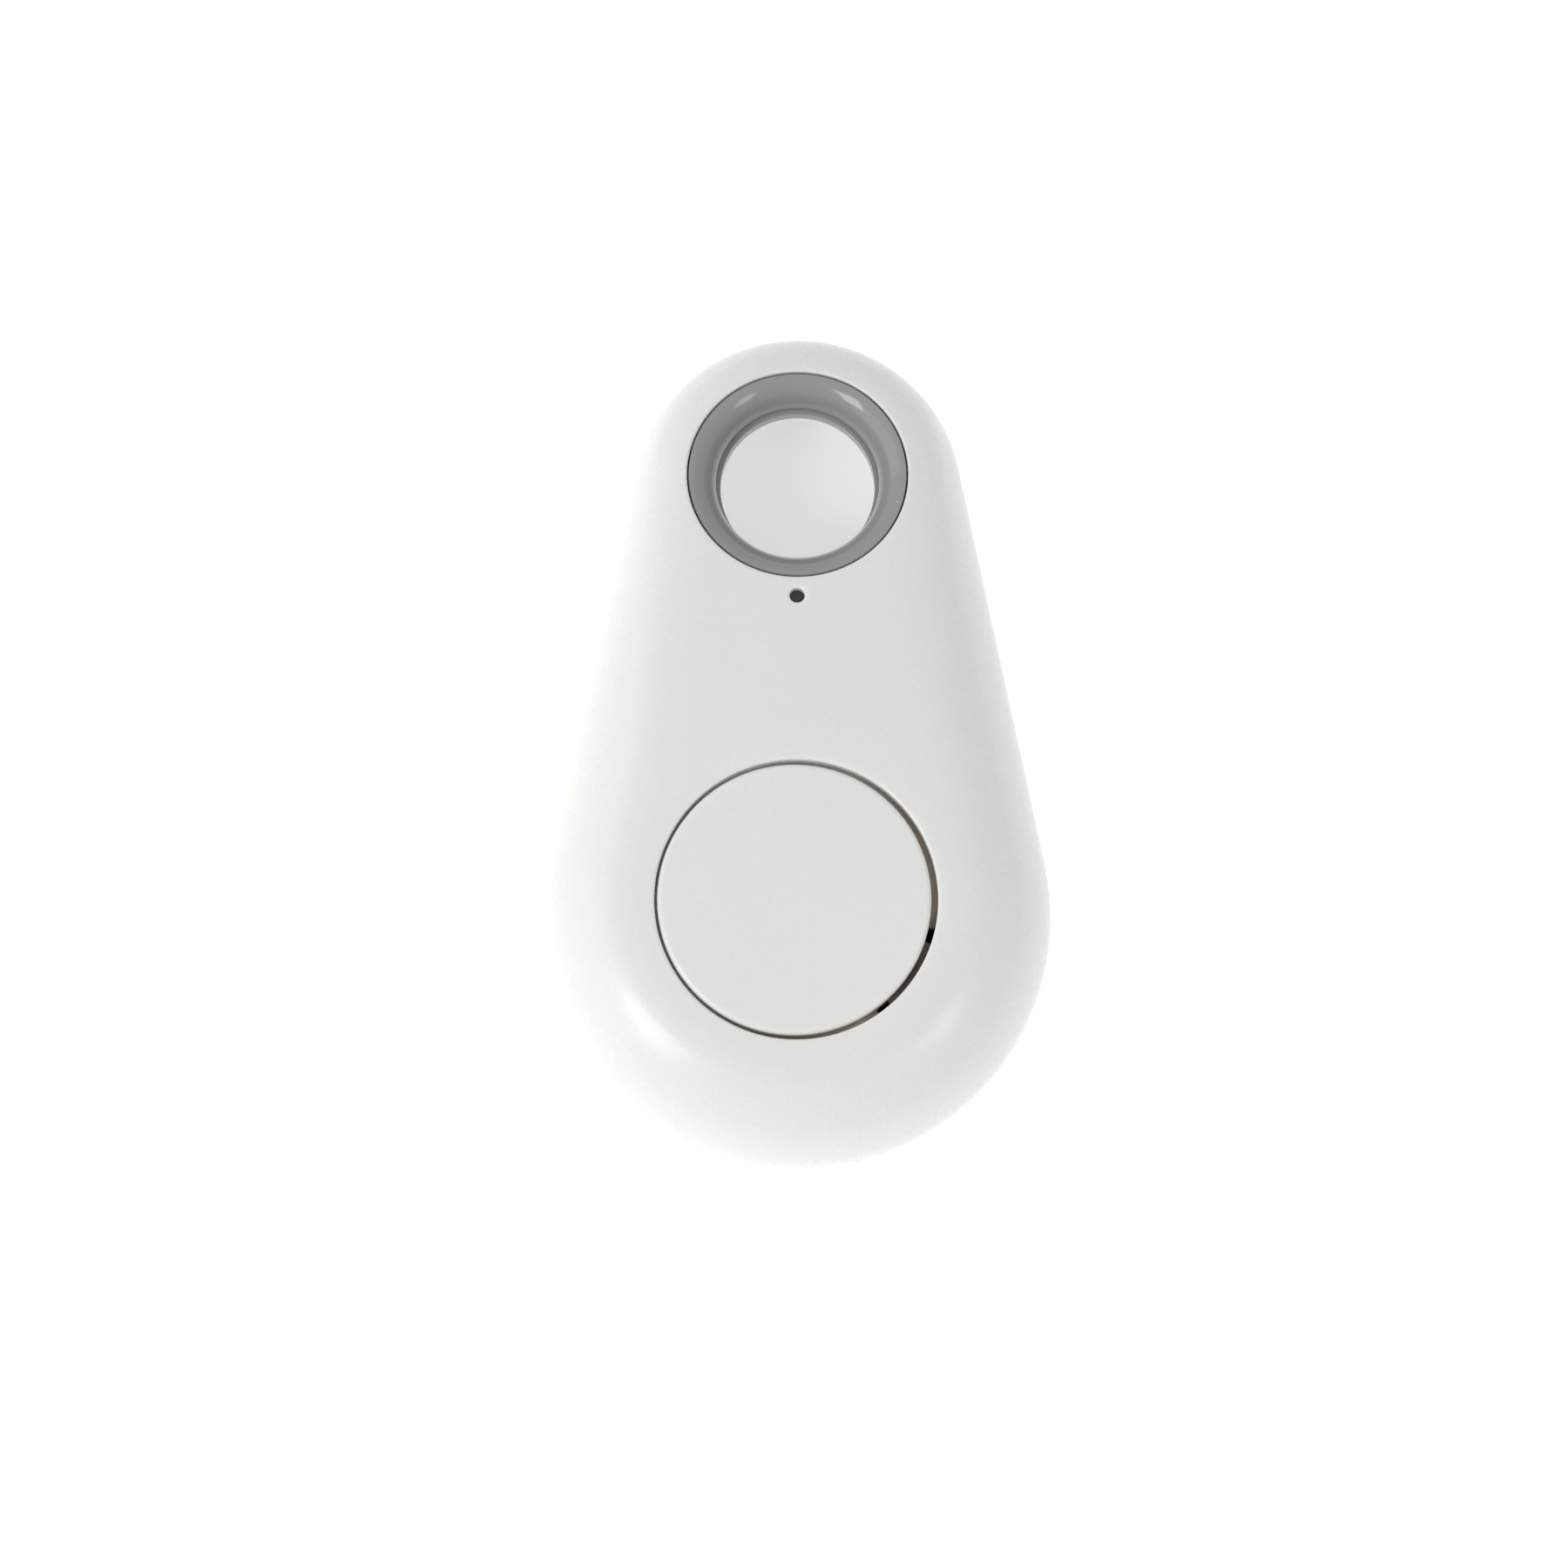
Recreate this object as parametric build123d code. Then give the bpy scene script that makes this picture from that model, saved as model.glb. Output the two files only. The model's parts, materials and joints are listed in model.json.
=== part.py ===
from build123d import *
import math
import os

# Bluetooth tracker tag. A teardrop case in two halves snaps together round a keyring hole, with a
# round push button in its front face. Inside are a circuit board, a key switch, a buzzer and a coin
# cell in a clip. Millimetres throughout.
#
# Frame: Z = 0 is the flat back, +Z leaves the front face and +Y points from the button to the
# keyring hole. X = 0 is the middle plane, and Y = 0 is half way along the case.

os.makedirs("parts", exist_ok=True)

# Case outline: two arcs joined by their common tangents
LENGTH = 52.0
WIDTH = 31.0
THICKNESS = 11.0
WALL = 1.25
LOWER_RADIUS = WIDTH / 2
RING_RADIUS = 10.25
LOWER_Y = LOWER_RADIUS - LENGTH / 2
RING_Y = LENGTH / 2 - RING_RADIUS

# Case sides: a superellipse from the parting line up, an ellipse from it down
PARTING_Z = THICKNESS / 2
SIDE_POWER = 1.8
LOWER_INSET = 7.0
RING_INSET = 8.0
SIDE_RISE = 5.8
SIDE_STEPS = 7
SIDE_LAST_ANGLE = 83
SHOULDER_RADIUS = 3.0
REAR_LOWER_INSET = 5.0
REAR_RING_INSET = 4.0
REAR_STEPS = 6

# Front face: a shallow dome whose top is cut to a flat round land about the button
DOME_RADIUS = 230.0
LAND_RADIUS = 10.0
DOME_CENTRE_Z = THICKNESS - math.sqrt(DOME_RADIUS ** 2 - LAND_RADIUS ** 2)

# The step where the two halves overlap, inside the walls
LIP_HEIGHT = 0.8
LIP_THICKNESS = 0.45
LIP_INSET = 0.75
LIP_CLEARANCE = 0.05
SEAM = 0.02

# Push button
BUTTON_RADIUS = 8.18
BUTTON_PLAY_X = -0.12
BUTTON_SKIN = 1.2
BUTTON_EDGE = 0.3
APERTURE_RADIUS = 8.46
FLANGE_RADIUS = 9.15
FLANGE_TOP_Z = THICKNESS - WALL - 0.02
FLANGE_THICKNESS = 0.75
SKIRT_INNER_RADIUS = 7.0
NOTCH_WIDTH = 1.0
NOTCH_ANGLES = (-14, -50)
NUB_RADIUS = 1.2

# Keyring hole and its two-part lining. The front flare is a quarter ellipse that would level off a
# little outside the lining, and the rear lining widens in a cone from a short throat. The linings
# touch the shells' collars, and a narrow groove parts them only near the outer faces.
HOLE_Y = RING_Y + 0.55
THROAT_RADIUS = 4.8
THROAT_RISE = 0.8
THROAT_LOW_Z = 5.3
FUNNEL_BORE_RADIUS = 5.05
FUNNEL_FLARE_RADIUS = 7.0
FUNNEL_TOP_Z = 9.37
FUNNEL_SLOPE = 0.133
FUNNEL_FLARE_HEIGHT = 2.2
LINING_RADIUS = 6.7
LINING_INNER_WALL_RADIUS = 6.2
LINING_STEP_Z = 7.0
LINING_GAP = 0.1
LINING_RECESS = 0.12
FRONT_GROOVE_Z = 8.0
REAR_GROOVE_Z = 1.0
REAR_MOUTH_RADIUS = 6.5
REAR_STEP_Z = 3.0
COLLAR_THICKNESS = 0.7

# Indicator hole and light guide
LIGHT_Y = 8.3
LIGHT_HOLE_RADIUS = 0.46
LIGHT_GUIDE_RADIUS = 0.42
LIGHT_FOOT_RADIUS = 0.62
LIGHT_FOOT_Z = 7.6
LIGHT_SHOULDER_Z = 9.1
LIGHT_TOP_Z = 9.8
LIGHT_BOSS_RADIUS = 1.1
LIGHT_BOSS_Z = 8.2

# Circuit board
BOARD_Z = 6.0
BOARD_THICKNESS = 0.8
BOARD_TOP_Z = BOARD_Z + BOARD_THICKNESS
BOARD_INSET = 1.9
BOARD_END_Y = 11.0
BOARD_RING_RADIUS = 6.5
POST_X = 9.2
POST_Y = 3.0
POST_RADIUS = 1.4
SCREW_RADIUS = 0.6
SCREW_HEAD_RADIUS = 1.2
SCREW_HEAD_HEIGHT = 0.5
SCREW_END_Z = 8.6

# Key switch under the button
SWITCH_SIZE = 4.5
SWITCH_WELL_RADIUS = 1.7
SWITCH_WELL_Z = BOARD_TOP_Z + 0.25
SWITCH_BASE_Z = BOARD_TOP_Z + 0.8
SWITCH_COVER_THICKNESS = 0.15
SWITCH_TOP_Z = BOARD_TOP_Z + 1.6
SNAP_RADIUS = 1.55
SNAP_HEIGHT = 0.35
SNAP_THICKNESS = 0.08
PLUNGER_RADIUS = 1.0
PLUNGER_FOOT_RADIUS = 1.4
PLUNGER_FOOT_THICKNESS = 0.16
RUNNING_GAP = 0.05
SMALL_GAP = 0.02

# Coin cell: 20 mm across, 3.2 mm thick
CELL_RADIUS = 10.0
CELL_THICKNESS = 3.2
CELL_Z = 1.8
CELL_TOP_Z = CELL_Z + CELL_THICKNESS
CELL_SHEET = 0.25
CELL_CAP_RADIUS = 9.2
CELL_CAN_HEIGHT = 2.9
CELL_LAYER_Z = CELL_Z + 1.2

# Cell clip, contact and nest
STRIP = 0.25
CLIP_WIDTH = 5.0
CLIP_LEG_X = CELL_RADIUS + 0.5
CLIP_FOOT_X = 12.4
LEAF = 0.14
LEAF_WIDTH = 3.0
NEST_RADIUS = CELL_RADIUS + 0.35
NEST_THICKNESS = 0.75
NEST_TOP_Z = 3.8

# Buzzer
BUZZER_Y = 4.3
BUZZER_RADIUS = 4.5
BUZZER_Z = 1.75
BUZZER_TOP_Z = BOARD_Z - 0.05
BUZZER_WALL = 0.5
DIAPHRAGM_Z = BUZZER_Z + 1.1
YOKE_Z = BUZZER_TOP_Z - 0.75
YOKE_THICKNESS = 0.5
POLE_RADIUS = 0.8
PIN_X = 2.5
PIN_RADIUS = 0.25


def cylinder(radius, low, high, x=0.0, y=0.0):
    """Upright cylinder between two heights."""
    return Pos(x, y, (low + high) / 2) * Cylinder(radius, high - low)


def block(size_x, size_y, low, high, x=0.0, y=0.0):
    """Upright block between two heights."""
    return Pos(x, y, (low + high) / 2) * Box(size_x, size_y, high - low)


def tube(outer, inner, low, high, x=0.0, y=0.0):
    """Upright tube between two heights."""
    return cylinder(outer, low, high, x, y) - cylinder(inner, low, high, x, y)


def outline(lower_radius, ring_radius, z):
    """Teardrop wire at one height: both end arcs and their common tangents."""
    lean = math.asin((lower_radius - ring_radius) / (RING_Y - LOWER_Y))

    def around(centre_y, radius, angle):
        return (radius * math.cos(angle), centre_y + radius * math.sin(angle), z)

    lower_right = around(LOWER_Y, lower_radius, lean)
    lower_left = around(LOWER_Y, lower_radius, math.pi - lean)
    ring_right = around(RING_Y, ring_radius, lean)
    ring_left = around(RING_Y, ring_radius, math.pi - lean)
    return Wire([
        Line(lower_right, ring_right),
        ThreePointArc(ring_right, around(RING_Y, ring_radius, math.pi / 2), ring_left),
        Line(ring_left, lower_left),
        ThreePointArc(lower_left, around(LOWER_Y, lower_radius, -math.pi / 2), lower_right),
    ])


def teardrop(inset, low, high):
    """Straight-sided teardrop, its outline inset from the case's."""
    wire = outline(LOWER_RADIUS - inset, RING_RADIUS - inset, low)
    return extrude(Face(wire), high - low)


def front_body(shrink=0.0):
    """The solid that the front half fills, with its surface moved in by shrink."""
    sections = []
    for step in range(SIDE_STEPS + 1):
        angle = math.radians(SIDE_LAST_ANGLE) * step / SIDE_STEPS
        inset = 1 - math.cos(angle) ** (2 / SIDE_POWER)
        rise = math.sin(angle) ** (2 / SIDE_POWER)
        sections.append(outline(
            LOWER_RADIUS - shrink - LOWER_INSET * inset,
            RING_RADIUS - shrink - RING_INSET * inset,
            PARTING_Z + (SIDE_RISE - shrink) * rise,
        ))
    sides = Solid.make_loft(sections)
    dome = Pos(0, LOWER_Y, DOME_CENTRE_Z) * Rot(0, 90, 0) * Sphere(DOME_RADIUS - shrink)
    body = sides & dome
    if shrink < WALL:
        crown = body.faces().filter_by(GeomType.SPHERE)[0]
        body = fillet(crown.outer_wire().edges(), SHOULDER_RADIUS)
    return body - block(WIDTH, LENGTH, THICKNESS - shrink, 2 * THICKNESS)


def rear_body(shrink=0.0):
    """The solid that the rear half fills, with its surface moved in by shrink."""
    sections = []
    for step in range(REAR_STEPS + 1):
        angle = math.pi / 2 * step / REAR_STEPS
        inset = 1 - math.cos(angle)
        sections.append(outline(
            LOWER_RADIUS - shrink - REAR_LOWER_INSET * inset,
            RING_RADIUS - shrink - REAR_RING_INSET * inset,
            PARTING_Z - (PARTING_Z - shrink) * math.sin(angle),
        ))
    return Solid.make_loft(sections)


def revolved(profile, x=0.0, y=0.0):
    """Turn a closed (radius, height) outline about an upright axis."""
    return Pos(x, y, 0) * revolve(Plane.XZ * make_face(profile), Axis.Z)


def sheared(shape):
    """Slope a shape about the keyring hole, keeping its plan, to follow the front face there."""
    rows = [[1, 0, 0, 0], [0, 1, 0, 0], [0, -FUNNEL_SLOPE, 1, FUNNEL_SLOPE * HOLE_Y], [0, 0, 0, 1]]
    return shape.transform_geometry(Matrix(rows))


def funnel_void():
    """The trumpet-shaped opening in the front lining."""
    flare_z = FUNNEL_TOP_Z - FUNNEL_FLARE_HEIGHT
    bottom_z = BOARD_Z - 2
    top_z = THICKNESS + 3
    flare_width = FUNNEL_FLARE_RADIUS - FUNNEL_BORE_RADIUS
    flare = EllipticalCenterArc(
        (FUNNEL_FLARE_RADIUS, flare_z), flare_width, FUNNEL_FLARE_HEIGHT, start_angle=90, arc_size=90)
    profile = [
        Polyline((FUNNEL_BORE_RADIUS, flare_z), (FUNNEL_BORE_RADIUS, bottom_z), (0, bottom_z),
                 (0, top_z), (FUNNEL_FLARE_RADIUS, top_z), (FUNNEL_FLARE_RADIUS, FUNNEL_TOP_Z)),
        flare,
    ]
    return sheared(revolved(profile, y=HOLE_Y).solid())


def front_eyelet():
    """Grey front lining of the keyring hole: a funnel that follows the face, down to the throat."""
    collar_top = PARTING_Z + THROAT_RISE + SMALL_GAP
    lining = cylinder(LINING_RADIUS, LINING_STEP_Z, THICKNESS, y=HOLE_Y)
    lining += cylinder(LINING_INNER_WALL_RADIUS, collar_top, LINING_STEP_Z, y=HOLE_Y)
    return (lining & front_body(LINING_RECESS)) - funnel_void()


def rear_eyelet():
    """Grey rear lining: the short throat and the cone that widens to the back."""
    top_z = PARTING_Z + THROAT_RISE
    void = revolved(Polyline(
        (0, -1), (0, top_z), (THROAT_RADIUS, top_z), (THROAT_RADIUS, THROAT_LOW_Z),
        (REAR_MOUTH_RADIUS, 0), (REAR_MOUTH_RADIUS, -1), close=True), y=HOLE_Y)
    rim = cylinder(LINING_RADIUS, 0, REAR_STEP_Z, y=HOLE_Y) & rear_body(LINING_RECESS)
    return rim + cylinder(LINING_INNER_WALL_RADIUS, REAR_STEP_Z, top_z, y=HOLE_Y) - void


def front_shell():
    """White front half: button opening in its land, keyring hole, indicator hole, board posts."""
    outer = front_body()
    inside = cylinder(LINING_RADIUS + COLLAR_THICKNESS, LINING_STEP_Z, THICKNESS, y=HOLE_Y)
    inside += tube(LIGHT_BOSS_RADIUS, LIGHT_HOLE_RADIUS, LIGHT_BOSS_Z, THICKNESS, y=LIGHT_Y)
    for side in (-1, 1):
        inside += cylinder(POST_RADIUS, BOARD_TOP_Z, THICKNESS, side * POST_X, POST_Y)
    shell = outer - front_body(WALL) + (inside & outer)
    shell -= teardrop(LIP_INSET - LIP_CLEARANCE, 0, PARTING_Z + LIP_HEIGHT + LIP_CLEARANCE)
    shell -= block(WIDTH, LENGTH, 0, PARTING_Z + SEAM)
    shell -= cylinder(APERTURE_RADIUS, LINING_STEP_Z, 2 * THICKNESS, y=LOWER_Y)
    shell -= cylinder(LINING_RADIUS, 0, FRONT_GROOVE_Z, y=HOLE_Y)
    shell -= cylinder(LINING_RADIUS + LINING_GAP, FRONT_GROOVE_Z, 2 * THICKNESS, y=HOLE_Y)
    shell -= cylinder(LIGHT_HOLE_RADIUS, LIGHT_SHOULDER_Z, 2 * THICKNESS, y=LIGHT_Y)
    shell -= cylinder(LIGHT_FOOT_RADIUS + SMALL_GAP, 0, LIGHT_SHOULDER_Z, y=LIGHT_Y)
    for side in (-1, 1):
        shell -= cylinder(SCREW_RADIUS + SMALL_GAP, BOARD_Z, SCREW_END_Z + SMALL_GAP, side * POST_X, POST_Y)
    return shell


def rear_shell():
    """White rear half, the snap-off cover: lip, keyring hole collar and cell nest."""
    outer = rear_body()
    nest = tube(NEST_RADIUS + NEST_THICKNESS, NEST_RADIUS, WALL / 2, NEST_TOP_Z, y=LOWER_Y)
    nest -= block(3 * CELL_RADIUS, CLIP_WIDTH + 1.5, 0, THICKNESS, y=LOWER_Y)
    nest -= block(WIDTH, LENGTH, 0, THICKNESS, y=LOWER_Y + CELL_RADIUS - 1 + LENGTH / 2)
    collar = cylinder(LINING_RADIUS + COLLAR_THICKNESS, 0, REAR_STEP_Z, y=HOLE_Y)
    shell = outer - rear_body(WALL) + ((nest + collar) & outer)
    lip_top = PARTING_Z + LIP_HEIGHT
    shell += teardrop(LIP_INSET, PARTING_Z - 0.5, lip_top) - teardrop(LIP_INSET + LIP_THICKNESS, 0, THICKNESS)
    shell -= cylinder(LINING_RADIUS + LINING_GAP, -1, REAR_GROOVE_Z, y=HOLE_Y)
    return shell - cylinder(LINING_RADIUS, REAR_GROOVE_Z, THICKNESS, y=HOLE_Y)


def button_cap():
    """Round button: flat face, rounded rim, hidden flange with two notches, centre nub."""
    flange_z = FLANGE_TOP_Z - FLANGE_THICKNESS
    cap = cylinder(BUTTON_RADIUS, flange_z, THICKNESS, BUTTON_PLAY_X, LOWER_Y)
    cap = fillet(cap.faces().sort_by(Axis.Z)[-1].edges(), BUTTON_EDGE)
    cap += cylinder(FLANGE_RADIUS, flange_z, FLANGE_TOP_Z, BUTTON_PLAY_X, LOWER_Y)
    cap -= cylinder(SKIRT_INNER_RADIUS, flange_z, THICKNESS - BUTTON_SKIN, BUTTON_PLAY_X, LOWER_Y)
    nub_z = SWITCH_TOP_Z + SMALL_GAP
    cap += cylinder(NUB_RADIUS, nub_z, THICKNESS - BUTTON_SKIN, BUTTON_PLAY_X, LOWER_Y)
    notch_length = FLANGE_RADIUS - BUTTON_RADIUS + 1
    notch = block(notch_length, NOTCH_WIDTH, flange_z - 1, THICKNESS - BUTTON_SKIN,
                  BUTTON_RADIUS + notch_length / 2)
    for angle in NOTCH_ANGLES:
        cap -= Pos(BUTTON_PLAY_X, LOWER_Y, 0) * Rot(0, 0, angle) * notch
    return cap


def light_guide():
    """Smoked rod that carries the indicator's light up to the hole."""
    guide = cylinder(LIGHT_FOOT_RADIUS, LIGHT_FOOT_Z, LIGHT_SHOULDER_Z - SMALL_GAP, y=LIGHT_Y)
    return guide + cylinder(LIGHT_GUIDE_RADIUS, LIGHT_SHOULDER_Z - SMALL_GAP, LIGHT_TOP_Z, y=LIGHT_Y)


def circuit_board():
    """Board cut to the case, with a bay for the keyring hole, screw holes and buzzer pin holes."""
    board = teardrop(BOARD_INSET, BOARD_Z, BOARD_TOP_Z)
    board -= block(WIDTH, LENGTH, 0, THICKNESS, y=BOARD_END_Y + LENGTH / 2)
    board -= cylinder(BOARD_RING_RADIUS, 0, THICKNESS, y=HOLE_Y)
    for side in (-1, 1):
        board -= cylinder(SCREW_RADIUS + 0.1, 0, THICKNESS, side * POST_X, POST_Y)
        board -= cylinder(PIN_RADIUS + 0.1, 0, THICKNESS, side * PIN_X, BUZZER_Y)
    return board


def antenna_trace():
    """Folded copper trace beside the keyring bay."""
    near_x, far_x = -3.4, -8.6
    first_y, pitch, runs = 4.9, 0.9, 5
    points = [(near_x, first_y - 1.5)]
    for run in range(runs):
        ends = (near_x, far_x) if run % 2 == 0 else (far_x, near_x)
        points += [(x, first_y + run * pitch) for x in ends]
    path = Polyline(*points)
    return Pos(0, 0, BOARD_TOP_Z) * extrude(trace(path, 0.4), 0.04)


def chip(size_x, size_y, height, x, y):
    """Surface-mounted part on the board's front."""
    body = block(size_x, size_y, BOARD_TOP_Z, BOARD_TOP_Z + height, x, y)
    return chamfer(body.faces().sort_by(Axis.Z)[-1].edges(), 0.06)


def chip_row(name, count, size, first_x, pitch, y):
    """A row of equal small parts, each one a node of its own."""
    size_x, size_y, height = size
    row = {}
    for number in range(count):
        row[f"{name}_{number + 1}"] = chip(size_x, size_y, height, first_x + number * pitch, y)
    return row


def board_screws():
    """Two short self-tapping screws that hold the board to the posts."""
    screws = []
    for side in (-1, 1):
        x = side * POST_X
        screw = cylinder(SCREW_RADIUS, BOARD_Z, SCREW_END_Z, x, POST_Y)
        screw += cylinder(SCREW_HEAD_RADIUS, BOARD_Z - SCREW_HEAD_HEIGHT, BOARD_Z, x, POST_Y)
        for size_x, size_y in ((1.5, 0.3), (0.3, 1.5)):
            screw -= block(size_x, size_y, BOARD_Z - SCREW_HEAD_HEIGHT, BOARD_Z - 0.25, x, POST_Y)
        screws.append(screw.solid())
    return Compound(screws)


def switch_base():
    """Black key switch base with a round well for the snap dome."""
    base = block(SWITCH_SIZE, SWITCH_SIZE, BOARD_TOP_Z, SWITCH_BASE_Z, y=LOWER_Y)
    return base - cylinder(SWITCH_WELL_RADIUS, SWITCH_WELL_Z, THICKNESS, y=LOWER_Y)


def switch_cover():
    """Metal cover with two side tabs, bored for the plunger."""
    top = SWITCH_BASE_Z + SWITCH_COVER_THICKNESS
    cover = block(SWITCH_SIZE, SWITCH_SIZE, SWITCH_BASE_Z, top, y=LOWER_Y)
    tab_y = SWITCH_SIZE / 2 + SWITCH_COVER_THICKNESS / 2
    for side in (-1, 1):
        cover += block(1.6, SWITCH_COVER_THICKNESS, BOARD_TOP_Z + 0.2, top, y=LOWER_Y + side * tab_y)
    return cover - cylinder(PLUNGER_RADIUS + RUNNING_GAP, 0, THICKNESS, y=LOWER_Y)


def switch_dome():
    """Thin sprung steel dome that clicks under the plunger."""
    sphere_radius = (SNAP_RADIUS ** 2 + SNAP_HEIGHT ** 2) / (2 * SNAP_HEIGHT)
    centre = Pos(0, LOWER_Y, SWITCH_WELL_Z + SNAP_HEIGHT - sphere_radius)
    skin = centre * (Sphere(sphere_radius) - Sphere(sphere_radius - SNAP_THICKNESS))
    return skin & cylinder(SWITCH_WELL_RADIUS, SWITCH_WELL_Z, SWITCH_BASE_Z, y=LOWER_Y)


def switch_plunger():
    """Stem that the button presses, with a foot under the switch cover."""
    foot_z = SWITCH_WELL_Z + SNAP_HEIGHT + SMALL_GAP
    foot_top = foot_z + PLUNGER_FOOT_THICKNESS
    plunger = cylinder(PLUNGER_FOOT_RADIUS, foot_z, foot_top, y=LOWER_Y)
    plunger += cylinder(PLUNGER_RADIUS, foot_top, SWITCH_TOP_Z, y=LOWER_Y)
    return chamfer(plunger.faces().sort_by(Axis.Z)[-1].edges(), 0.1)


def buzzer_case():
    """Black drum, open to the board, with a sound hole and a ledge for the diaphragm."""
    inner_radius = BUZZER_RADIUS - BUZZER_WALL
    case = cylinder(BUZZER_RADIUS, BUZZER_Z, BUZZER_TOP_Z, y=BUZZER_Y)
    case -= cylinder(inner_radius, DIAPHRAGM_Z, BUZZER_TOP_Z, y=BUZZER_Y)
    case -= cylinder(inner_radius - 0.5, BUZZER_Z + BUZZER_WALL, DIAPHRAGM_Z, y=BUZZER_Y)
    return case - cylinder(1.0, 0, THICKNESS, y=BUZZER_Y)


def buzzer_diaphragm():
    """Thin steel disc on the case's ledge, with a weight at its middle."""
    disc = cylinder(BUZZER_RADIUS - BUZZER_WALL - 0.1, DIAPHRAGM_Z, DIAPHRAGM_Z + 0.1, y=BUZZER_Y)
    return disc + cylinder(1.2, DIAPHRAGM_Z - 0.3, DIAPHRAGM_Z, y=BUZZER_Y)


def buzzer_yoke():
    """Steel plate at the back of the buzzer with the pole that the coil sits on."""
    plate = cylinder(BUZZER_RADIUS - BUZZER_WALL - 0.05, YOKE_Z, YOKE_Z + YOKE_THICKNESS, y=BUZZER_Y)
    return plate + cylinder(POLE_RADIUS, DIAPHRAGM_Z + 0.35, YOKE_Z, y=BUZZER_Y)


def buzzer_magnet():
    """Ring magnet round the coil."""
    return tube(3.8, 2.5, DIAPHRAGM_Z + 0.65, YOKE_Z, y=BUZZER_Y)


def buzzer_coil():
    """Copper winding on the pole."""
    return tube(2.2, POLE_RADIUS + SMALL_GAP, DIAPHRAGM_Z + 0.55, YOKE_Z, y=BUZZER_Y)


def buzzer_pins():
    """Two pins through the board."""
    low = YOKE_Z + YOKE_THICKNESS
    pins = [cylinder(PIN_RADIUS, low, BOARD_TOP_Z + 0.3, side * PIN_X, BUZZER_Y) for side in (-1, 1)]
    return Compound([pin.solid() for pin in pins])


def cell_can():
    """Positive can of the coin cell, its flat face to the back."""
    can = cylinder(CELL_RADIUS, CELL_Z, CELL_Z + CELL_CAN_HEIGHT, y=LOWER_Y)
    can = fillet(can.faces().sort_by(Axis.Z)[0].edges(), 0.4)
    return can - cylinder(CELL_RADIUS - CELL_SHEET, CELL_Z + CELL_SHEET, THICKNESS, y=LOWER_Y)


def cell_gasket():
    """Sealing ring between can and cap."""
    return tube(CELL_RADIUS - CELL_SHEET, CELL_CAP_RADIUS, CELL_Z + CELL_SHEET, CELL_Z + CELL_CAN_HEIGHT,
                y=LOWER_Y)


def cell_cap():
    """Negative cap of the coin cell, towards the board."""
    cap = cylinder(CELL_CAP_RADIUS, CELL_LAYER_Z, CELL_TOP_Z, y=LOWER_Y)
    cap = fillet(cap.faces().sort_by(Axis.Z)[-1].edges(), 0.45)
    return cap - cylinder(CELL_CAP_RADIUS - CELL_SHEET, CELL_LAYER_Z, CELL_TOP_Z - CELL_SHEET, y=LOWER_Y)


def cell_cathode():
    """Pressed pellet in the can."""
    return cylinder(CELL_CAP_RADIUS - 0.1, CELL_Z + CELL_SHEET, CELL_LAYER_Z, y=LOWER_Y)


def cell_anode():
    """Metal disc in the cap."""
    return cylinder(CELL_CAP_RADIUS - CELL_SHEET - 0.25, CELL_LAYER_Z, CELL_TOP_Z - CELL_SHEET, y=LOWER_Y)


def bent_strip(points, thickness, width, plane):
    """Sheet-metal strip along a line of points, centred on a plane."""
    return extrude(plane * trace(Polyline(*points), thickness), width / 2, both=True)


def battery_clip():
    """Steel strap under the cell, soldered to the board by a foot at each side."""
    foot_z = BOARD_Z - STRIP / 2
    strap_z = CELL_Z - STRIP / 2
    right = [(CLIP_LEG_X, strap_z), (CLIP_LEG_X, foot_z), (CLIP_FOOT_X, foot_z)]
    left = [(-x, z) for x, z in reversed(right)]
    return bent_strip(left + right, STRIP, CLIP_WIDTH, Plane.XZ.offset(-LOWER_Y))


def negative_contact():
    """Sprung leaf from the board down to the cell's cap."""
    top_z = BOARD_Z - LEAF / 2
    touch_z = CELL_TOP_Z + LEAF / 2 + SMALL_GAP
    points = [(LOWER_Y + 7, top_z), (LOWER_Y + 4.5, top_z), (LOWER_Y + 0.5, touch_z),
              (LOWER_Y - 0.5, touch_z), (LOWER_Y - 1.5, touch_z + 0.3)]
    return bent_strip(points, LEAF, LEAF_WIDTH, Plane.YZ)


pieces = {
    "front_shell": front_shell(),
    "rear_shell": rear_shell(),
    "front_eyelet": front_eyelet(),
    "rear_eyelet": rear_eyelet(),
    "button_cap": button_cap(),
    "light_guide": light_guide(),
    "circuit_board": circuit_board(),
    "antenna_trace": antenna_trace(),
    "bluetooth_chip": chip(5.0, 5.0, 0.85, -6.2, -4.6),
    "crystal_can": chip(3.2, 2.5, 0.7, -1.0, -5.6),
    "chip_inductor": chip(2.0, 1.6, 1.0, 3.4, -5.4),
    "status_led": chip(1.6, 0.8, 0.65, 0, LIGHT_Y),
    "board_screws": board_screws(),
    "switch_base": switch_base(),
    "switch_cover": switch_cover(),
    "switch_dome": switch_dome(),
    "switch_plunger": switch_plunger(),
    "buzzer_case": buzzer_case(),
    "buzzer_diaphragm": buzzer_diaphragm(),
    "buzzer_yoke": buzzer_yoke(),
    "buzzer_magnet": buzzer_magnet(),
    "buzzer_coil": buzzer_coil(),
    "buzzer_pins": buzzer_pins(),
    "battery_clip": battery_clip(),
    "negative_contact": negative_contact(),
    "cell_can": cell_can(),
    "cell_gasket": cell_gasket(),
    "cell_cap": cell_cap(),
    "cell_cathode": cell_cathode(),
    "cell_anode": cell_anode(),
}
pieces.update(chip_row("chip_capacitor", 6, (1.0, 0.5, 0.5), -6.6, 1.7, 0.2))
pieces.update(chip_row("chip_resistor", 4, (1.0, 0.5, 0.35), 2.4, 1.5, 2.6))

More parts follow.
